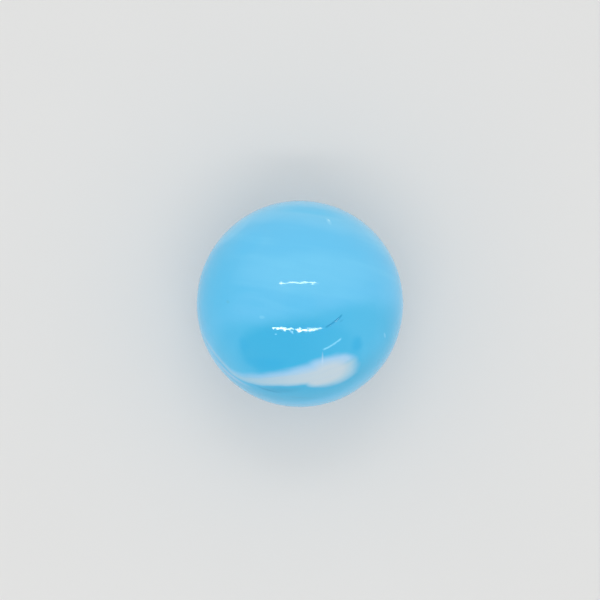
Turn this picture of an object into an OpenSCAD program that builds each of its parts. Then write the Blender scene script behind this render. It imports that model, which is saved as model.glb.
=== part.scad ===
// Glass marble: one ball of opaque glass, sky blue, with a white vein that ends in a round head,
// a streak of deeper blue above the vein, and two fine creases left by the shears beside its head.
// The colours are fused into one solid. Millimetres, +Z up, origin at the centre of the ball.
//
// The vein lies on a band, a circle right round the ball. Places near it are given as on a globe
// that has the band for its equator: along, to the right, and across, towards the top of the ball.

/* [Ball] */
// Diameter of the marble
marble_d = 16; // [15:0.5:42]

/* [Band that the vein follows] */
// Turn of the band about the vertical, in degrees
band_turn = 19; // [0:1:359]
// Angle between the band and the vertical, in degrees: 0 for an upright ring, 90 for a level one
band_tip = 44; // [0:1:90]
// Place of the middle of the vein along the band, in degrees from the band's highest point
vein_middle = -28; // [-180:1:180]

/* [White vein] */
// Width of the vein at its round head
vein_w = 3.3; // [1:0.1:5]
// Length of the vein on the surface, from its thin tail to the end of its head
vein_l = 13; // [8:0.5:15]

/* [Shear creases] */
// Length of each crease. It is a straight-bottomed nick, so this sets its depth too
crease_l = 1.8; // [1:0.1:3]
// Width of each crease at its middle
crease_w = 0.16; // [0.08:0.01:0.4]
// Radius of the bow that each crease follows
crease_bow_r = 5; // [2:0.5:20]
// Gap from the edge of the vein to the first crease
crease_gap = 0.55; // [0.2:0.05:1.5]
// Distance from one crease to the next, across the band
crease_pitch = 1.6; // [0.6:0.1:2]
// How far the middle of the first crease lies behind the end of the vein's head
crease_back = 1.2; // [0:0.1:3]
// How far each crease lies further along than the one before
crease_shift = 0.9; // [0:0.1:2]
// Angle of the creases to the band, in degrees
crease_slant = 7; // [-45:1:45]

/* [Hidden] */
$fn = 180;

marble_r = marble_d / 2;

// The head of the vein is the front half of an oval, this many times as long as the vein is wide.
// The tail thins away behind it, the sooner the higher tail_thinning is
head_stretch = 0.8;
head_l = head_stretch * vein_w;
tail_l = vein_l - head_l;
tail_thinning = 3.2;
outline_steps = 24;

crease_count = 2;
// A straight cut as long as a crease reaches this far below the surface of the ball
crease_depth = marble_r - sqrt(pow(marble_r, 2) - pow(crease_l / 2, 2));
// The blade is this many times deeper than the nick it leaves, so that it comes out of the ball
blade_reach = 3;
blade_sweep = 2 * blade_reach * asin(crease_l / 2 / crease_bow_r);

// The deeper blue streak is an oval round the vein. It reaches past both of the vein's ends, further
// past the head, just past the last crease above the vein, and a little way out below it
streak_stretch = 1.4;
streak_lead = 0.125;
streak_drop = 0.8;
streak_half_l = streak_stretch * vein_l / 2;
streak_shift = streak_lead * vein_l;
streak_top = vein_w / 2 + crease_gap + crease_count * crease_pitch;
streak_foot = streak_drop * vein_w;

// Each inlay is this many times the room cut for it, so that the glasses run into each other
inlay_overlap = 1.01;

sky_blue = [0.42, 0.77, 0.94];
deep_blue = [0.26, 0.70, 0.90];
milk_white = [0.78, 0.84, 0.87];

// Angle at the centre of the ball under a length on its surface
function arc_angle(length) = length / marble_r * 180 / PI;

// A place on the ball, seen along the axis of a field: the angles count from that axis
function place(along, across) = marble_r * [sin(along) * cos(across), sin(across)];

// Share of the vein's width left at a share of the way from its widest place to either end.
// Both start level, so the outline has no corner where head and tail meet
function head_share(way) = sqrt(max(0, 1 - pow(way, 2)));
function tail_share(way) = pow(max(0, 1 - way), tail_thinning) * (1 + tail_thinning * way);

// Half the width of the vein at a distance from its middle, counted towards the head
function vein_half_w(from_middle) =
    let (past_widest = from_middle - (vein_l / 2 - head_l))
    vein_w / 2 * (past_widest > 0 ? head_share(past_widest / head_l) : tail_share(-past_widest / tail_l));

// Moves its children from the top of the ball to a place near the band
module on_band(along, across = 0)
    rotate([0, 0, band_turn])
        rotate([band_tip, 0, 0])
            rotate([0, along, 0])
                rotate([-across, 0, 0])
                    children();

module ball() sphere(d = marble_d);

// A field of colour is its outline on the surface, run in to the middle of the ball
module field(along, outline, size)
    on_band(along)
        translate([0, 0, marble_d])
            scale(size)
                mirror([0, 0, 1])
                    linear_extrude(height = marble_d)
                        polygon(outline);

module vein_field(size = 1) {
    // Steps lie closer together towards both ends, where the outline turns
    stations = [for (step = [0:outline_steps]) -vein_l / 2 * cos(180 * step / outline_steps)];
    head_side = [for (at = stations) place(arc_angle(at), arc_angle(vein_half_w(at)))];
    foot_side = [for (step = [outline_steps - 1:-1:1])
        place(arc_angle(stations[step]), -arc_angle(vein_half_w(stations[step])))];
    field(vein_middle, concat(head_side, foot_side), size);
}

module streak_field(size = 1) {
    oval = [for (step = [0:2 * outline_steps - 1])
        let (turn = 180 * step / outline_steps, reach = turn < 180 ? streak_top : streak_foot)
        place(arc_angle(streak_half_l * cos(turn)), arc_angle(reach * sin(turn)))];
    field(vein_middle + arc_angle(streak_shift), oval, size);
}

// One V-shaped nick in the top of the ball, along X, its bottom in a level plane
module crease()
    translate([0, crease_bow_r, marble_r - crease_depth])
        rotate([0, 0, -90 - blade_sweep / 2])
            rotate_extrude(angle = blade_sweep)
                translate([crease_bow_r, 0])
                    polygon([
                        [0, 0],
                        [blade_reach * crease_w / 2, blade_reach * crease_depth],
                        [-blade_reach * crease_w / 2, blade_reach * crease_depth],
                    ]);

module creases()
    for (number = [0:crease_count - 1])
        on_band(
            along = vein_middle + arc_angle(vein_l / 2 - crease_back + number * crease_shift),
            across = arc_angle(vein_w / 2 + crease_gap + number * crease_pitch)
        )
            rotate([0, 0, crease_slant])
                crease();

module marble()
    difference() {
        union() {
            color(sky_blue) difference() {
                ball();
                streak_field();
                vein_field();
            }
            color(deep_blue) difference() {
                intersection() {
                    ball();
                    streak_field(inlay_overlap);
                }
                vein_field();
            }
            color(milk_white) intersection() {
                ball();
                vein_field(inlay_overlap);
            }
        }
        color(deep_blue) creases();
    }

marble();
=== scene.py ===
# %% [markdown]
# # A swirled glass marble
#
# A playing marble is one drop of hot glass. A gob of blue glass is drawn with a little white glass,
# cut off with shears, and rolled round in a spiral groove while it cools. So the colours are streaks
# folded into one body, the skin is smooth but never perfect, and two fine lines stay where the shears
# have pinched the gob.
#
# The part's construction gives one solid ball. This script keeps its size and place, and gives it the
# skin, the shear marks and the colours, in metres, in the same frame: +Z up, origin in the middle.

# %% Load the solid ball as a fixed frame
import math

import bpy
from mathutils import Matrix, Vector, noise


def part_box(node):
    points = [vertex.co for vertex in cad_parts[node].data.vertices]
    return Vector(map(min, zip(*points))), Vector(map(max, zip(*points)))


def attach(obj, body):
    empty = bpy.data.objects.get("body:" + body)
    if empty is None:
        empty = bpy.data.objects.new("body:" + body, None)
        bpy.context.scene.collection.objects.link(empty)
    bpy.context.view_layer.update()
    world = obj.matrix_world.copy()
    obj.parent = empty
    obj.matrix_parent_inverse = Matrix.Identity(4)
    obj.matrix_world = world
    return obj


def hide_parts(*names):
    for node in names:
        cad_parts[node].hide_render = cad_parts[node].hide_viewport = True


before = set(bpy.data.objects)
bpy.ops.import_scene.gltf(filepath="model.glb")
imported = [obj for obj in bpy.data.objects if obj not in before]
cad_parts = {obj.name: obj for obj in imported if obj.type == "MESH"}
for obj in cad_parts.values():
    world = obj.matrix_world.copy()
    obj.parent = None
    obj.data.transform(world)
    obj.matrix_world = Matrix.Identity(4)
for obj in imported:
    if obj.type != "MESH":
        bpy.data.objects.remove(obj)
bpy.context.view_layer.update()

mm = 0.001
scene = bpy.context.scene
scene.view_settings.view_transform = "Standard"

box_low, box_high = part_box("marble")
ball_radius = min((high - low) / 2 for low, high in zip(box_low, box_high))
floor_height = box_low[2]
print(f"ball radius {ball_radius / mm:.3f} mm, floor at {floor_height / mm:.3f} mm")

# %% [markdown]
# ## The table top
#
# A marble is best seen on something plain and pale: the shadow under it says that it lies on the table,
# and its rim picks up the pale colour. A wide flat sheet is enough. Its material is matt, with a faint
# unevenness like painted board, because a perfectly even colour looks like empty space.

# %% Helpers that add nodes
def start_material(name):
    """Makes a material with an empty node tree."""
    material = bpy.data.materials.new(name)
    material.use_nodes = True
    material.node_tree.nodes.clear()
    return material


def add_node(tree, kind, **settings):
    """Adds a node of this kind to a tree and sets its own settings."""
    node = tree.nodes.new(kind)
    for setting, value in settings.items():
        setattr(node, setting, value)
    return node


def colour(red, green, blue):
    """Turns the 0 to 255 numbers of a colour picker into the linear colour that the shader wants."""
    linear = []
    for part in (red, green, blue):
        share = part / 255
        if share <= 0.04045:
            linear.append(share / 12.92)
        else:
            linear.append(((share + 0.055) / 1.055) ** 2.4)
    return (*linear, 1.0)


# %% Pale table top
table_half_width = 0.7
table_colour = colour(223, 223, 222)
table_unevenness = 0.015
board_cloud_scale = 40


def shaded(tint, share):
    """Makes a colour darker or paler by a share of itself."""
    return (*[part * share for part in tint[:3]], 1.0)


def paint_table():
    material = start_material("pale_board")
    tree = material.node_tree
    output = add_node(tree, "ShaderNodeOutputMaterial")
    shader = add_node(tree, "ShaderNodeBsdfPrincipled")
    shader.inputs["Roughness"].default_value = 0.8
    shader.inputs["Specular IOR Level"].default_value = 0.15
    place = add_node(tree, "ShaderNodeTexCoord")
    cloud = add_node(tree, "ShaderNodeTexNoise")
    cloud.inputs["Scale"].default_value = board_cloud_scale
    cloud.inputs["Detail"].default_value = 3
    ramp = add_node(tree, "ShaderNodeValToRGB")
    darker, paler = ramp.color_ramp.elements
    darker.color = shaded(table_colour, 1 - table_unevenness)
    paler.color = shaded(table_colour, 1 + table_unevenness)
    tree.links.new(place.outputs["Object"], cloud.inputs["Vector"])
    tree.links.new(cloud.outputs["Fac"], ramp.inputs["Fac"])
    tree.links.new(ramp.outputs["Color"], shader.inputs["Base Color"])
    tree.links.new(shader.outputs["BSDF"], output.inputs["Surface"])
    return material


def lay_table():
    corner = table_half_width
    corners = [(-corner, -corner), (corner, -corner), (corner, corner), (-corner, corner)]
    mesh = bpy.data.meshes.new("table_top")
    mesh.from_pydata([(x, y, floor_height) for x, y in corners], [], [(0, 1, 2, 3)])
    mesh.materials.append(paint_table())
    table = bpy.data.objects.new("table_top", mesh)
    scene.collection.objects.link(table)
    return table


table = lay_table()
print("table top", 2 * table_half_width, "m wide")

# %% [markdown]
# ## Light
#
# Polished glass shows its lamps as mirror images, so the lamps decide how the ball looks. A light tent
# is the usual answer: pale walls all round, brighter than the ceiling, light the sides of the ball as
# well as its top, so that the colours stay even and the shadow stays faint. The tent is the world
# itself, and the glass mirrors it as one plain pale colour, without edges.
#
# Two lamps hang in the tent, one on either side. Each is made twice: once thin and bright for the line
# that it leaves on the ball, and once wide and faint for the light and the shadow that it gives the
# table. So the line and the shadow can each be set by itself.

# %% Light of the tent
wall_light = 2.0
ceiling_light = 1.03
wall_top = 0.5


def light_world():
    world = bpy.data.worlds.new("light_tent")
    scene.world = world
    world.use_nodes = True
    tree = world.node_tree
    tree.nodes.clear()
    output = add_node(tree, "ShaderNodeOutputWorld")
    direction = add_node(tree, "ShaderNodeTexCoord")
    split = add_node(tree, "ShaderNodeSeparateXYZ")
    height = add_node(tree, "ShaderNodeMapRange")
    height.inputs["From Max"].default_value = wall_top
    height.inputs["To Min"].default_value = wall_light
    height.inputs["To Max"].default_value = ceiling_light
    soft = add_node(tree, "ShaderNodeBackground")
    # Past the edge of the table, the camera and the glass see its colour go on
    seen = add_node(tree, "ShaderNodeBackground")
    seen.inputs["Color"].default_value = table_colour
    rays = add_node(tree, "ShaderNodeLightPath")
    plain = add_node(tree, "ShaderNodeMath", operation="MAXIMUM")
    choose = add_node(tree, "ShaderNodeMixShader")
    tree.links.new(direction.outputs["Generated"], split.inputs["Vector"])
    tree.links.new(split.outputs["Z"], height.inputs["Value"])
    tree.links.new(height.outputs["Result"], soft.inputs["Strength"])
    tree.links.new(rays.outputs["Is Camera Ray"], plain.inputs[0])
    tree.links.new(rays.outputs["Is Glossy Ray"], plain.inputs[1])
    tree.links.new(plain.outputs["Value"], choose.inputs["Fac"])
    tree.links.new(soft.outputs["Background"], choose.inputs[1])
    tree.links.new(seen.outputs["Background"], choose.inputs[2])
    tree.links.new(choose.outputs["Shader"], output.inputs["Surface"])


light_world()
print("walls", wall_light, "ceiling", ceiling_light)

# %% Lamps
lamp_distance = 0.25


def hang_lamp(name, lean, share, length, width, aside=0.0):
    """Hangs a lamp over the ball that gives this share of the light on the table.

    It leans this many degrees from straight above towards +Y, and hangs this far aside, towards +X.
    """
    lamp = bpy.data.lights.new(name, "AREA")
    lamp.shape = "RECTANGLE"
    lamp.size = length
    lamp.size_y = width
    angle = math.radians(lean)
    # A face of one square metre that shines with strength 1 takes pi watts
    lamp.energy = share * (math.pi * lamp_distance) ** 2 / math.cos(angle)
    holder = bpy.data.objects.new(name, lamp)
    holder.location = lamp_distance * Vector((0, math.sin(angle), math.cos(angle)))
    holder.location.x = aside
    holder.rotation_euler = (-angle, 0, 0)
    scene.collection.objects.link(holder)
    print(name, "brightness", round(lamp.energy / (math.pi * length * width), 1))
    return holder


# %% Two thin lamps that the glass mirrors
for thin_lamp in (
    hang_lamp("back_line", lean=23.4, share=0.063, length=0.19, width=0.0046),
    hang_lamp("front_line", lean=-28.4, share=0.16, length=0.235, width=0.0060, aside=-0.013),
):
    thin_lamp.visible_diffuse = False

# %% Two wide lamps that light the table
for wide_lamp in (
    hang_lamp("back_light", lean=29, share=0.065, length=0.12, width=0.05),
    hang_lamp("front_light", lean=-22, share=0.105, length=0.19, width=0.025),
):
    wide_lamp.visible_glossy = False

# %% [markdown]
# ## Camera
#
# The camera looks straight down from a quarter of a metre. A long lens keeps the ball's outline round
# and shows almost a full half of it, as the eye sees a small thing on a table.

# %% Camera straight above
camera_height = 0.25
view_width = 0.0463
# The camera hangs over this place, so that the ball lies a little below the middle of its view
aim = (0.000005, 0.000302)
nearest_seen = 0.01


def set_camera():
    data = bpy.data.cameras.new("camera")
    data.lens = data.sensor_width * camera_height / view_width
    data.clip_start = nearest_seen
    camera = bpy.data.objects.new("camera", data)
    camera.location = (*aim, camera_height)
    scene.collection.objects.link(camera)
    scene.camera = camera
    print(f"lens {data.lens:.0f} mm")


set_camera()

# %% [markdown]
# ## A globe for the swirl
#
# The white vein runs along a circle right round the ball, tipped against the table. It helps to treat
# that circle as the equator of a small globe: every mark then has a place *along* the band, to the
# right, and *across* it, towards the top. The turn and the tip are the same as in the construction.

# %% Directions of the band
band_turn = 19
band_tip = 44
band = Matrix.Rotation(math.radians(band_turn), 3, "Z") @ Matrix.Rotation(math.radians(band_tip), 3, "X")
band_right, band_pole, band_start = band.col


def on_band(along, across):
    """Gives the direction from the middle of the ball to a place near the band, angles in degrees."""
    turn = math.radians(along)
    lift = math.radians(across)
    return band @ Vector((math.sin(turn) * math.cos(lift), math.sin(lift), math.cos(turn) * math.cos(lift)))


def arc(length):
    """Gives the angle in degrees under a length in millimetres on the ball."""
    return math.degrees(length * mm / ball_radius)


print("pole of the band", [round(part, 3) for part in band_pole])

# %% [markdown]
# ## The ball's mesh
#
# Blender's own sphere bunches its faces at two poles, and no face is fine enough for a shear mark a
# sixth of a millimetre wide. A ball can also be made from six square sheets, like a box blown up until
# it is round: no poles, and all faces four-sided. The sheets are then drawn together towards the shear
# marks, as cloth is gathered in a fist, so the small faces lie where the fine shapes are and the large
# ones lie at the back. Each face keeps its proportions, because the gathering shrinks both ways alike.

# %% Six sheets, gathered towards the shear marks
# Squares along each side of a sheet
sheet_squares = 128
# Faces at the gathering place are this many times as wide as they would be ungathered
gather = 0.34
gather_place = on_band(5, 28)
# Nearer than this to the gathering place, or to the place opposite, nothing moves
no_angle = 1e-9

sheet_sides = [
    (Vector((1, 0, 0)), Vector((0, 1, 0)), Vector((0, 0, 1))),
    (Vector((0, 1, 0)), Vector((0, 0, 1)), Vector((1, 0, 0))),
    (Vector((0, 0, 1)), Vector((1, 0, 0)), Vector((0, 1, 0))),
    (Vector((0, 1, 0)), Vector((1, 0, 0)), Vector((0, 0, -1))),
    (Vector((0, 0, 1)), Vector((0, 1, 0)), Vector((-1, 0, 0))),
    (Vector((1, 0, 0)), Vector((0, 0, 1)), Vector((0, -1, 0))),
]


def gathered(direction):
    """Moves a direction towards +Z, so that steps there become this much smaller."""
    away = math.acos(max(-1.0, min(1.0, direction.z)))
    if away < no_angle or away > math.pi - no_angle:
        return direction
    nearer = 2 * math.atan(gather * math.tan(away / 2))
    flat = Vector((direction.x, direction.y, 0)).normalized() * math.sin(nearer)
    return Vector((flat.x, flat.y, math.cos(nearer)))


def gather_turn():
    """Turns +Z to the gathering place and +X along the band there."""
    up = gather_place.normalized()
    right = band_pole.cross(up).normalized()
    return Matrix((right, up.cross(right), up)).transposed()


def make_ball_grid():
    """Gives the directions of all points, the faces between them, and each face's place on its sheet."""
    turn = gather_turn()
    steps = [math.tan(math.pi / 4 * (2 * step / sheet_squares - 1)) for step in range(sheet_squares + 1)]
    number = {}
    directions = []
    faces = []
    sheet_places = []
    for side, (right, up, out) in enumerate(sheet_sides):
        rows = []
        for v in range(sheet_squares + 1):
            row = []
            for u in range(sheet_squares + 1):
                spot = right * (2 * u - sheet_squares) + up * (2 * v - sheet_squares) + out * sheet_squares
                key = (round(spot.x), round(spot.y), round(spot.z))
                if key not in number:
                    number[key] = len(directions)
                    flat = (right * steps[u] + up * steps[v] + out).normalized()
                    directions.append(turn @ gathered(flat))
                row.append(number[key])
            rows.append(row)
        for v in range(sheet_squares):
            for u in range(sheet_squares):
                faces.append((rows[v][u], rows[v][u + 1], rows[v + 1][u + 1], rows[v + 1][u]))
                sheet_places.append((side, u, v))
    return directions, faces, sheet_places


directions, faces, sheet_places = make_ball_grid()
print(len(directions), "points,", 2 * len(faces), "triangles")

# %% [markdown]
# ## The shear marks
#
# Where the shears close on the hot gob they leave two thin nicks. Fire has softened their lips, but they
# are still real grooves, so they are carved into the mesh. Each is deepest in its middle and runs out
# at both ends, like the cut of a straight blade in a round thing, and it bows a little.

# %% Sizes of the vein and the nicks, in millimetres and degrees
true_radius = 8.0
vein_middle = -28
vein_length = 13.0
vein_width = 3.3
nick_count = 2
nick_length = 1.8
nick_width = 0.16
nick_bow = 5.0
nick_back = 1.2
nick_shift = 0.9
nick_gap = 0.55
nick_pitch = 1.6
nick_slant = 7
nick_depth = true_radius - math.sqrt(true_radius ** 2 - (nick_length / 2) ** 2)
print(f"nicks {nick_depth:.3f} mm deep")


# %% Places of the nicks
def nick_place(number):
    """Gives where the middle of a nick lies, in degrees along and across the band."""
    along = vein_middle + arc(vein_length / 2 - nick_back + number * nick_shift)
    across = arc(vein_width / 2 + nick_gap + number * nick_pitch)
    return along, across


def nick_frame(number):
    """Gives the middle of a nick and the directions along and across it."""
    out = on_band(*nick_place(number))
    level = band_pole.cross(out).normalized()
    upward = out.cross(level)
    slant = math.radians(nick_slant)
    ahead = level * math.cos(slant) + upward * math.sin(slant)
    return out, ahead, out.cross(ahead)


ball_mm = ball_radius / mm
nicks = [nick_frame(number) for number in range(nick_count)]
for number, (out, ahead, beside) in enumerate(nicks):
    print("middle of nick", number, [round(part * ball_mm, 2) for part in out])

# %% Two bowed nicks
nick_zone = 0.98
# The line of a nick trembles this far to either side, in a pattern that differs from nick to nick
tremble_width = 0.02
tremble_fineness = 2.2
tremble_row = 3.1
tremble_spread = 9


def nick_cut(direction):
    """Gives how deep the nicks are at a place, in millimetres."""
    cut = 0.0
    for out, ahead, beside in nicks:
        if direction.dot(out) < nick_zone:
            continue
        run = direction.dot(ahead) * ball_mm
        aside = direction.dot(beside) * ball_mm - run ** 2 / (2 * nick_bow)
        pattern = Vector((run * tremble_fineness, tremble_row, out.x * tremble_spread))
        aside += tremble_width * noise.noise(pattern)
        share = 1 - (2 * run / nick_length) ** 2
        if share > 0:
            cut = max(cut, nick_depth * (share - 2 * abs(aside) / nick_width))
    return cut


print("deepest of the points", round(max(nick_cut(direction) for direction in directions), 3), "mm")

# %% [markdown]
# ## The fire-polished skin
#
# Glass that cools while it rolls never sets into a perfect ball. Long, low waves, a few thousandths of
# a millimetre high, stay in the skin. No one sees the waves themselves, but the thin mirror image of a
# lamp trembles over them and breaks into strands. A patch just beside the shear marks is crimped more,
# since the glass there was pinched. A finer ripple, narrow from side to side and longer the other way,
# makes the mirror image zigzag there, and a little in a calmer patch further up. These waves are shape,
# not paint, so they are put into the mesh too.

# %% Sizes of the waves, in millimetres
wave_height = 0.0016
wave_size = 2.2
crimp_height = 0.0045
crimp_size = 0.5
ripple_width = 0.14
ripple_length = 0.35
pinched_ripple = 0.0046
calm_ripple = 0.0032
# Noise goes on for ever in all directions: an offset picks the part of it that makes the pattern
crimp_offset = Vector((41, 56, 81))
ripple_offset = Vector((61, 88, 20))
# The skin lies this much lower, so that no crest stands out of the solid ball
highest_crest = wave_height + crimp_height + pinched_ripple + calm_ripple
print("skin lies", round(highest_crest, 4), "mm lower than the solid")

# %% Waves in the skin
pinched_place = on_band(-8, 30)
pinched_reach = 20
calm_place = on_band(6, 54)
calm_reach = 24


def nearness(direction, middle, reach):
    """Gives 1 in the middle of a patch of skin and 0 outside its reach, which is in degrees."""
    away = math.degrees(middle.angle(direction)) / reach
    return max(0.0, 1 - away ** 2)


def skin_wave(direction):
    """Gives the height of the skin's waves at a place, in millimetres."""
    spot = direction * ball_mm
    low = wave_height * noise.noise(spot / wave_size)
    pinched = nearness(direction, pinched_place, pinched_reach) ** 2
    calm = nearness(direction, calm_place, calm_reach)
    crimp = crimp_height * pinched * noise.noise(spot / crimp_size + crimp_offset)
    drawn = Vector((spot.x / ripple_width, spot.y / ripple_length, spot.z / ripple_length))
    ripple = (pinched_ripple * pinched + calm_ripple * calm) * noise.noise(drawn + ripple_offset)
    return low + crimp + ripple - highest_crest


def shape_ball():
    """Gives every point of the skin, in metres."""
    points = []
    for direction in directions:
        height = skin_wave(direction) - nick_cut(direction)
        points.append(direction * (ball_radius + height * mm))
    return points


points = shape_ball()
print("lowest skin", round(min(point.length for point in points) / mm, 4), "mm from the middle")

# %% [markdown]
# ## From points to a ball
#
# The mesh gets smooth shading, so that only the carved shapes show and not the faces. It also gets a flat
# map of its six sheets, three by two, which a baked texture can use: the gathered places get the most
# room on it, so the finest colours stay sharp there.

# %% Flat map of the six sheets
map_columns = 3
map_rows = 2
map_margin = 0.012


def lay_flat(mesh):
    """Lays the six sheets side by side on a square map."""
    spread = (1 - 2 * map_margin) / sheet_squares
    flat = []
    for side, u, v in sheet_places:
        column, row = side % map_columns, side // map_columns
        for du, dv in ((0, 0), (1, 0), (1, 1), (0, 1)):
            flat.append((column + map_margin + (u + du) * spread) / map_columns)
            flat.append((row + map_margin + (v + dv) * spread) / map_rows)
    layer = mesh.uv_layers.new(name="OFBake")
    layer.data.foreach_set("uv", flat)


# %% Ball of glass
def make_ball():
    mesh = bpy.data.meshes.new("marble_glass")
    mesh.from_pydata(points, [], faces)
    mesh.polygons.foreach_set("use_smooth", [True] * len(faces))
    lay_flat(mesh)
    mesh.update()
    ball = bpy.data.objects.new("marble_glass", mesh)
    scene.collection.objects.link(ball)
    return ball


ball = make_ball()
print("ball of", len(ball.data.polygons), "faces")

# %% [markdown]
# ## The glass
#
# The colours are painted with node arithmetic, not with a picture, so they stay sharp at any distance
# and go right round the ball. The shader's own sockets hold what is the same everywhere. For the rest
# a small helper keeps the arithmetic readable: a `Wire` is one number on its way through the nodes, and
# adding or multiplying two of them adds the Math node that does it.

# %% Arithmetic with nodes
glass = start_material("swirled_sky_glass")
glass_tree = glass.node_tree


def plug(value, socket):
    """Feeds a socket with a wire, or sets it to a plain number."""
    if isinstance(value, Wire):
        glass_tree.links.new(value.socket, socket)
    else:
        socket.default_value = value


def work(operation, *values):
    """Adds the Math node for an operation and gives the wire that comes out of it."""
    node = add_node(glass_tree, "ShaderNodeMath", operation=operation)
    for value, socket in zip(values, node.inputs):
        plug(value, socket)
    return Wire(node.outputs[0])


class Wire:
    """One number on its way through the nodes."""

    def __init__(self, socket):
        self.socket = socket

    def __add__(self, other):
        return work("ADD", self, other)

    def __radd__(self, other):
        return work("ADD", other, self)

    def __sub__(self, other):
        return work("SUBTRACT", self, other)

    def __rsub__(self, other):
        return work("SUBTRACT", other, self)

    def __mul__(self, other):
        return work("MULTIPLY", self, other)

    def __truediv__(self, other):
        return work("DIVIDE", self, other)

    def __pow__(self, other):
        return work("POWER", self, other)

    def __abs__(self):
        return work("ABSOLUTE", self)


def rise(value, start, end):
    """Goes softly from 0 at the start to 1 at the end. The start may be the higher of the two."""
    node = add_node(glass_tree, "ShaderNodeMapRange", interpolation_type="SMOOTHSTEP")
    plug(value, node.inputs["Value"])
    plug(start, node.inputs["From Min"])
    plug(end, node.inputs["From Max"])
    return Wire(node.outputs["Result"])


def larger(one, other):
    """Gives the larger of two numbers."""
    return work("MAXIMUM", one, other)


def smaller(one, other):
    """Gives the smaller of two numbers."""
    return work("MINIMUM", one, other)


# %% [markdown]
# ### Where on the ball
#
# Every colour asks the same question first: how far along and across the band is this place? The
# object's own coordinates give the direction from the middle, and three dot products turn it into the
# band's directions. Arctangent and arcsine then give the two angles.

# %% Angles along and across the band
place = add_node(glass_tree, "ShaderNodeTexCoord")
outward = add_node(glass_tree, "ShaderNodeVectorMath", operation="NORMALIZE")
glass_tree.links.new(place.outputs["Object"], outward.inputs["Vector"])


def towards(direction):
    """Gives how far a place lies in a direction: 1 straight below it, 0 a quarter of the way round."""
    node = add_node(glass_tree, "ShaderNodeVectorMath", operation="DOT_PRODUCT")
    glass_tree.links.new(outward.outputs["Vector"], node.inputs[0])
    node.inputs[1].default_value = direction
    return Wire(node.outputs["Value"])


to_right = towards(band_right)
to_pole = towards(band_pole)
to_start = towards(band_start)
to_top = towards(Vector((0, 0, 1)))
to_side = towards(Vector((1, 0, 0)))
degree = math.pi / 180
along = work("ARCTAN2", to_right, to_start) / degree
across = work("ARCSINE", to_pole) / degree
print("glass has", len(glass_tree.nodes), "nodes so far")

# %% Noise in the glass
noise_middle = 0.5
noise_gain = 4.0


def grain(fineness, fineness_across, offset, detail=2.0, height=to_pole):
    """Noise from about -1 to 1, and 0 on average.

    It is finer the higher its fineness along and across the band. Each offset gives another pattern.
    """
    together = add_node(glass_tree, "ShaderNodeCombineXYZ")
    plug(to_right * fineness + offset, together.inputs["X"])
    plug(height * fineness_across, together.inputs["Y"])
    plug(to_start * fineness, together.inputs["Z"])
    node = add_node(glass_tree, "ShaderNodeTexNoise")
    node.inputs["Scale"].default_value = 1.0
    node.inputs["Detail"].default_value = detail
    glass_tree.links.new(together.outputs["Vector"], node.inputs["Vector"])
    return (Wire(node.outputs["Fac"]) - noise_middle) * noise_gain

# %% [markdown]
# ### Outlines that wander
#
# Streaks in glass are never drawn with a ruler. All outlines are read at a place that is pushed about a
# little by slow noise, so that every edge wanders, and neighbouring edges wander together as they would
# in one body of flowing glass.

# %% Slow push
wander = 0.8
drift_along = grain(3.0, 5.0, 11.0)
drift_across = grain(3.0, 5.0, 47.0)
flow_along = along + drift_along * (wander * 2)
flow_across = across + drift_across * wander
print("outlines wander by about", wander, "degrees")


# %% Ovals on the band
def oval(middle, half, squareness=2.0, tilt=0.0, bend=0.0):
    """Measures from the middle of an oval on the band: 0 in its middle and 1 on its outline."""
    run = flow_along - middle[0]
    lift = flow_across - middle[1] - run * (run * bend + tilt)
    sum_of_powers = abs(run / half[0]) ** squareness + abs(lift / half[1]) ** squareness
    return sum_of_powers ** (1 / squareness)


# %% [markdown]
# ### Laying one glass over another
#
# The colour starts as plain sky blue and every other glass is laid over it, strongest last: veils, the
# milky cap, the deep streak, the shade under the vein, and the white. A layer is a colour and a share
# from 0 to 1, and the share may differ from place to place.

# %% Layers of glass
sky_blue = colour(96, 193, 237)
layers = {"colour": None}


def lay(tint, share):
    """Mixes a tint over what is there, by a share from 0 to 1."""
    mix = add_node(glass_tree, "ShaderNodeMix", data_type="RGBA", clamp_factor=True)
    plug(share, mix.inputs["Factor"])
    if layers["colour"] is None:
        mix.inputs["A"].default_value = sky_blue
    else:
        glass_tree.links.new(layers["colour"], mix.inputs["A"])
    mix.inputs["B"].default_value = tint
    layers["colour"] = mix.outputs["Result"]


def lay_oval(tint, strength, middle, half, outer, inner, **shape):
    """Lays a tint on an oval place: nothing outside `outer`, and its full strength inside `inner`.

    Both are counted as the oval is, with 1 on its outline.
    """
    lay(tint, rise(oval(middle, half, **shape), outer, inner) * strength)


def tell(what):
    """Prints how far the glass has come."""
    print(what, "laid, the glass has", len(glass_tree.nodes), "nodes")


# %% [markdown]
# ### Veils
#
# Sky blue glass is never one even blue. Thinner and thicker threads of it lie in levels, as in stirred
# syrup. Noise that is fine across the levels and coarse along them paints such threads, once with a
# deeper blue and once with a paler one.

# %% Levels of the veils
def turned_direction(turn, tip):
    """A direction this many degrees from +Y towards +X, and tipped up this many degrees."""
    level = math.cos(math.radians(tip))
    across_x = math.sin(math.radians(turn)) * level
    across_y = math.cos(math.radians(turn)) * level
    return Vector((across_x, across_y, math.sin(math.radians(tip))))


cap_turn = 11
cap_tip = -13
to_cap = towards(turned_direction(cap_turn, cap_tip))
# The levels sway a little under the cap
sway = work("SINE", to_right * 3.0 + 0.8) * 0.05
cross_sway = work("SINE", to_start * 3.6 + 2.0) * 0.04
veil_level = to_cap + sway + cross_sway

# %% Veils in the sky blue
deep_veil = colour(80, 187, 233)
pale_veil = colour(112, 204, 242)
deep_side = colour(76, 187, 232)
deep_cloud_and_camera_reflection = colour(80, 190, 237)
pale_glass_and_sheen = colour(118, 205, 242)


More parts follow.
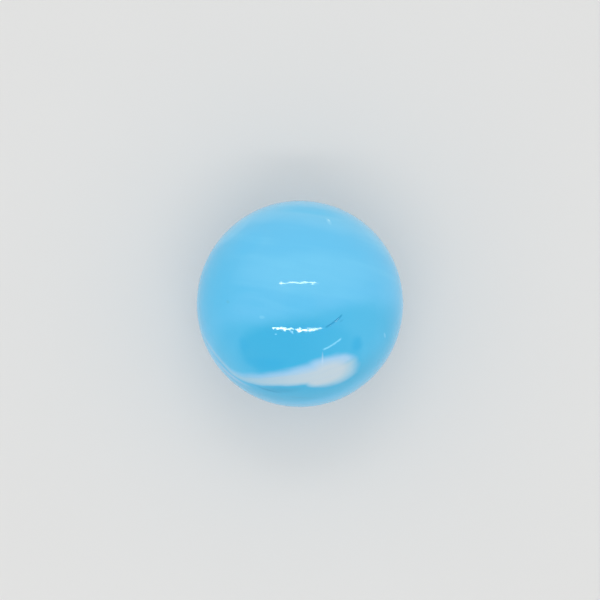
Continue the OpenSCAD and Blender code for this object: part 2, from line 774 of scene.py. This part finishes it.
def patch(direction, far, strength):
    """A soft round patch: its full strength in a direction, and 0 where `towards` gives only `far`."""
    return rise(towards(Vector(direction)), far, 1.0) * strength


def lay_veils():
    lay(deep_veil, rise(grain(1.1, 4.2, 3.0, height=veil_level), -0.1, 1.0) * 0.42)
    lay(pale_veil, rise(grain(1.2, 6.0, 29.0, height=veil_level), 0.0, 1.0) * 0.34)
    # The left side is a shade deeper. A paler cloud lies level over the top of the ball, just above the
    # back lamp's
    # mirror line: it is partly paler glass and partly painted sheen of the lamp's glow
    lay(deep_side, patch((-0.93, 0.15, 0.27), 0.68, 0.9))
    lay(deep_cloud_and_camera_reflection, patch((-0.49, 0.60, 0.63), 0.975, 0.4))
    side = to_side - 0.06
    ahead = towards(Vector((0, 1, 0))) - 0.29 + grain(2.0, 4.0, 71.0) * 0.04
    cloud = (side / 0.62) ** 2 + (ahead / 0.22) ** 2
    lay(pale_glass_and_sheen, rise(cloud, 1.6, 0.0) * rise(to_top, 0.2, 0.6) * 0.45)
    # A faint darker patch straight under the camera is a painted reflection of the camera
    lay(deep_cloud_and_camera_reflection, patch((0, 0, 1), 0.98, 0.28))


lay_veils()
tell("veils")

# %% [markdown]
# ### The milky cap
#
# At the far side of the ball the blue is thin, and milky glass shows through it as a pale cap. Its edge
# is crisp where it comes up to the top of the ball and wanders off underneath. A thin blue line runs
# inside the edge where the two were folded.

# %% Milky cap
cap_milk = colour(126, 206, 241)
cap_edge = 0.57
cap_wander = grain(2.2, 3.0, 61.0)


def lay_cap():
    below = rise(to_top, 0.25, -0.35)
    # The edge bulges in three places, furthest where the cap runs down the left side
    bulge = patch((-0.78, 0.60, 0.18), 0.90, 0.30)
    bulge = bulge + patch((-0.50, 0.76, 0.42), 0.95, 0.05)
    bulge = bulge + patch((0.25, 0.72, 0.65), 0.96, 0.03)
    depth = to_cap + cap_wander * (below * 0.16 + 0.02) + bulge
    milk = rise(depth, cap_edge - 0.03, below * 0.2 + cap_edge + 0.12)
    lay(cap_milk, milk * (0.44 - below * 0.2))


lay_cap()
tell("cap")

# %% Blue line where the cap was folded
fold_blue = colour(88, 195, 238)
fold_turn = 8
fold_edge = 0.78


def lay_fold():
    level = towards(turned_direction(fold_turn, cap_tip)) + cap_wander * 0.008
    line = rise(abs(level - fold_edge), 0.075, 0.02)
    ends = rise(abs(to_side - 0.10), 0.45, 0.08)
    lay(fold_blue, line * ends * rise(to_top, 0.2, 0.4) * 0.9)


lay_fold()
tell("fold")

# %% [markdown]
# ### The deep streak
#
# Above the vein lies a streak of deeper blue. It is darkest in the middle of its length, has a fairly
# sharp edge on the left where it was folded over, and thins out softly upwards and to the right.

# %% Deep streak
streak_blue = colour(70, 183, 227)
streak_right = colour(60, 177, 221)
streak_left = colour(72, 183, 229)
streak_upper = colour(64, 181, 229)
core_blue = colour(51, 176, 223)
pool_blue = colour(36, 172, 223)
corner_blue = colour(40, 172, 223)


def lay_streak():
    lay_oval(streak_blue, 0.88, (-8, 3.5), (59.5, 34.5), 1.14, 0.86, squareness=2.5, tilt=-0.06)
    lay_oval(streak_right, 0.4, (51, -8), (14, 22), 1.25, 0.4)
    lay_oval(streak_left, 0.5, (-50, 25), (10, 8), 1.3, 0.3)
    lay_oval(streak_upper, 0.35, (13, 27), (15, 7), 1.4, 0.2)
    core = oval((-13, 6), (36, 30), squareness=2.8, tilt=-0.06)
    thinning = rise(flow_along, -14, 22)
    left_edge = rise(flow_along + (flow_across - 18) * 0.7, -50, -41)
    lay(core_blue, rise(core, 1.08, 0.84) * (1 - thinning * 0.5) * (left_edge * 0.6 + 0.4))
    lay_oval(pool_blue, 0.7, (-30, 12.5), (13, 5), 1.3, 0.3)
    lay_oval(corner_blue, 0.5, (-43, 23), (3.5, 4), 1.4, 0.2)
    lay_oval(pool_blue, 0.75, (22.5, 7.5), (3.5, 4.5), 1.5, 0.3)


lay_streak()
tell("streak")

# %% [markdown]
# ### The shade under the vein
#
# Below the vein the blue is greyer, and darkest close under the vein's lower edge. Over the whole lower
# part the blue is also made a little darker, which is partly greyer glass and partly painted shade. Two
# thin dark threads lie in it, where a fold of the glass was pressed shut.

# %% Shade below the vein
lower_glass_and_shade = colour(84, 183, 226)
shade_blue = colour(66, 174, 215)
shade_deep = colour(48, 160, 203)
thread_dark = colour(40, 150, 194)
thread_soft = colour(66, 168, 208)


def lay_shade():
    # The whole lower part of the ball is a little darker: partly greyer glass, partly painted shade
    lay(lower_glass_and_shade, rise(across, -10, -34) * 0.6)
    lay_oval(shade_blue, 0.9, (-12, -12), (42, 10), 1.5, 0.5, squareness=2.2)
    lay_oval(shade_deep, 0.7, (-27, -8), (13, 3), 1.3, 0.2)
    lay_oval(thread_dark, 0.7, (-34, -8.4), (9, 1.1), 1.2, 0.2, tilt=-0.31)
    lay_oval(thread_soft, 0.6, (-18, -17.2), (9, 1.2), 1.2, 0.2, tilt=-0.42)


lay_shade()
tell("shade")

# %% [markdown]
# ### The white vein
#
# The vein is a teardrop: a round head, and a tail that thins away along the band. Head and tail are two
# outlines, and a place is white if it lies in either. The head is an oval. The tail is drawn by two
# curves, one for its middle line and one for half its width, as a boat's hull is drawn by stations. Its
# upper edge melts into the blue, the lower one is sharper, and a few faint threads run inside it.

# %% Curves for the tail
tail_start = -90
tail_end = 10
tail_middle = [9.6, 8.8, 6.6, 2.3, -1.6, -0.6, 1.0, 1.8, 2.0, 0.5, -0.7]
tail_half = [0, 0.4, 0.8, 1.3, 2.3, 3.8, 4.8, 5.6, 6.5, 8.2, 9.1]


def curve(value, start, end, heights, low, high):
    """Reads a height off a drawn curve. The heights are evenly spaced from the start to the end."""
    share = (value - start) / (end - start)
    node = add_node(glass_tree, "ShaderNodeFloatCurve")
    line = node.mapping.curves[0]
    last = len(heights) - 1
    while len(line.points) < len(heights):
        line.points.new(0.5, 0.5)
    for step, height in enumerate(heights):
        line.points[step].location = (step / last, (height - low) / (high - low))
    node.mapping.update()
    plug(smaller(larger(share, 0.0), 1.0), node.inputs["Value"])
    return Wire(node.outputs["Value"]) * (high - low) + low


middle_line = curve(flow_along, tail_start, tail_end, tail_middle, -10, 10)
half_width = curve(flow_along, tail_start, tail_end, tail_half, 0, 12)
print("tail drawn by", len(tail_middle), "stations")

# %% Outline of the vein
# Head and tail both count how many degrees a place lies inside them. The tail stops under the head
head_radius = 12.0
tail_stop = 4
head_oval = oval((3.2, -0.2), (14.4, 10.5), squareness=2.4, tilt=-0.085, bend=-0.006)
head_inside = (1 - head_oval) * head_radius
tail_inside = smaller(half_width - abs(flow_across - middle_line), tail_stop - flow_along)
inside = larger(head_inside, tail_inside)

# %% White vein
milk_white = colour(193, 208, 217)
vein_bluish = colour(160, 204, 236)
vein_greyish = colour(158, 200, 221)
strand_grey = colour(158, 194, 226)
thread_white = colour(176, 202, 222)


def lay_vein():
    # The upper edge and the head melt over a wider stretch than the lower edge of the tail
    upper = rise(flow_across - middle_line, -1, 3)
    head = rise(flow_along, -18, 4)
    softness = larger(upper, head) * 1.9 + 1.2
    # The white gets thicker from the tail to the head, and fades out at the end of the tail
    body = rise(flow_along, -66, 12)
    end = rise(flow_along, -96, -70)
    edge = rise(inside / softness - upper * 0.22 + 0.22, -0.95, 0.75) * (body * 0.42 + 0.56) * end
    lay(vein_bluish, edge * upper)
    lay(vein_greyish, edge * (1 - upper))
    front = rise(flow_along, -12, 14)
    milk = rise(inside, upper * 0.7 + 0.1, upper * 3.6 + front * 3.8 + 2.4)
    lay(milk_white, milk * (body * 0.88 - front * 0.06 + 0.08) * end)
    threads = work("SINE", flow_across * 1.3 + grain(3.0, 7.0, 17.0) * 3.0)
    lay(thread_white, rise(threads, 0.2, 1.0) * rise(inside, 1.0, 4.0) * 0.15)


# A second, greyer strand runs beside the tail, under the vein's own edge
lay_oval(strand_grey, 0.58, (-58, -5.4), (12, 2.6), 1.3, 0.2, tilt=-0.36)
lay_vein()
tell("vein")

# %% [markdown]
# ### Painted light and shade in the nicks, and specks
#
# The groove nearest the vein has a pale line painted along it, a painted highlight where its wall catches
# the lamp, and the other one a dark line of painted shade in the groove.
# A few specks, from grit and tiny bubbles, are scattered over the ball.

# %% Painted highlight and shade along the nicks
painted_nick_highlight = colour(130, 220, 255)
painted_nick_shade = colour(26, 152, 202)
painted_line_width = 0.11


def nick_line(number, width):
    """Share of 1 on the line of a nick, and 0 beside it."""
    out, ahead, beside = nicks[number]
    run = towards(ahead) * ball_mm
    aside = towards(beside) * ball_mm - run * run / (2 * nick_bow)
    this_side = rise(towards(out), 0.97, 0.98)
    ends = rise(abs(run), nick_length * 0.5, nick_length * 0.36)
    ragged = grain(30.0, 30.0, 91.0)
    line = abs(aside + ragged * 0.012) / (ragged * 0.25 + 1)
    return rise(line, width, width * 0.25) * ends * this_side


# Painted highlight along the nick nearest the vein, where its wall catches the lamp
lay(painted_nick_highlight, nick_line(0, painted_line_width) * 0.9)
# Painted shade inside the other nick
lay(painted_nick_shade, nick_line(1, painted_line_width) * 0.85)
tell("marks in the nicks")


# %% Specks
def speck(middle, half, tint, strength, lean=0.0):
    """Lays a soft spot on the band; its middle and half its length and height are in degrees."""
    lift = across - middle[1]
    run = (along - middle[0]) * math.cos(math.radians(middle[1])) - lift * lean
    lay(tint, rise((run / half[0]) ** 2 + (lift / half[1]) ** 2, 1.0, 0.0) * strength)


speck((97.7, 58.5), (1.5, 0.9), colour(176, 228, 250), 0.9)
speck((96.0, 58.8), (4.0, 1.6), colour(140, 214, 245), 0.5)
speck((-29.5, 40.0), (2.2, 1.2), colour(120, 206, 243), 0.6)
speck((-20.8, 30.5), (0.9, 0.6), colour(120, 212, 250), 0.8)
speck((41.8, -2.2), (0.9, 2.6), colour(128, 204, 240), 0.6)
speck((-60.5, 43.0), (1.6, 1.1), colour(84, 178, 216), 0.5)
# The pinched glass left a faint trail from the pale nick down into the vein, and a dark smear of painted
# shade lies by the dark one
speck((1.9, 10.0), (0.7, 5.2), colour(190, 218, 240), 0.4, lean=0.3)
speck((20.6, 25.6), (1.8, 0.7), colour(52, 160, 208), 0.45)
tell("specks")

# %% [markdown]
# ### Polish
#
# The skin is fire-polished: it mirrors sharply, with a breath of softness that differs from place to
# place. A very low bump gives the tremble that is finer than the mesh.

# %% Shader
glass_ior = 1.5
polish = 0.035
tremble_height = 0.0008


def finish_glass():
    output = add_node(glass_tree, "ShaderNodeOutputMaterial")
    shader = add_node(glass_tree, "ShaderNodeBsdfPrincipled")
    shader.inputs["IOR"].default_value = glass_ior
    glass_tree.links.new(layers["colour"], shader.inputs["Base Color"])
    plug(polish + abs(grain(5.0, 9.0, 83.0)) * 0.02, shader.inputs["Roughness"])
    bump = add_node(glass_tree, "ShaderNodeBump")
    bump.inputs["Distance"].default_value = tremble_height * mm
    plug(grain(14.0, 20.0, 5.0, detail=1.0), bump.inputs["Height"])
    glass_tree.links.new(bump.outputs["Normal"], shader.inputs["Normal"])
    glass_tree.links.new(shader.outputs["BSDF"], output.inputs["Surface"])


finish_glass()
ball.data.materials.append(glass)
print("glass has", len(glass_tree.nodes), "nodes in the end")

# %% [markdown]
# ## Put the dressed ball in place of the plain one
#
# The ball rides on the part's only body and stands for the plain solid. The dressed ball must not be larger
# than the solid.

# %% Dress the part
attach(ball, "root")
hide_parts("marble")
print(ball.name, "stands for the plain marble")
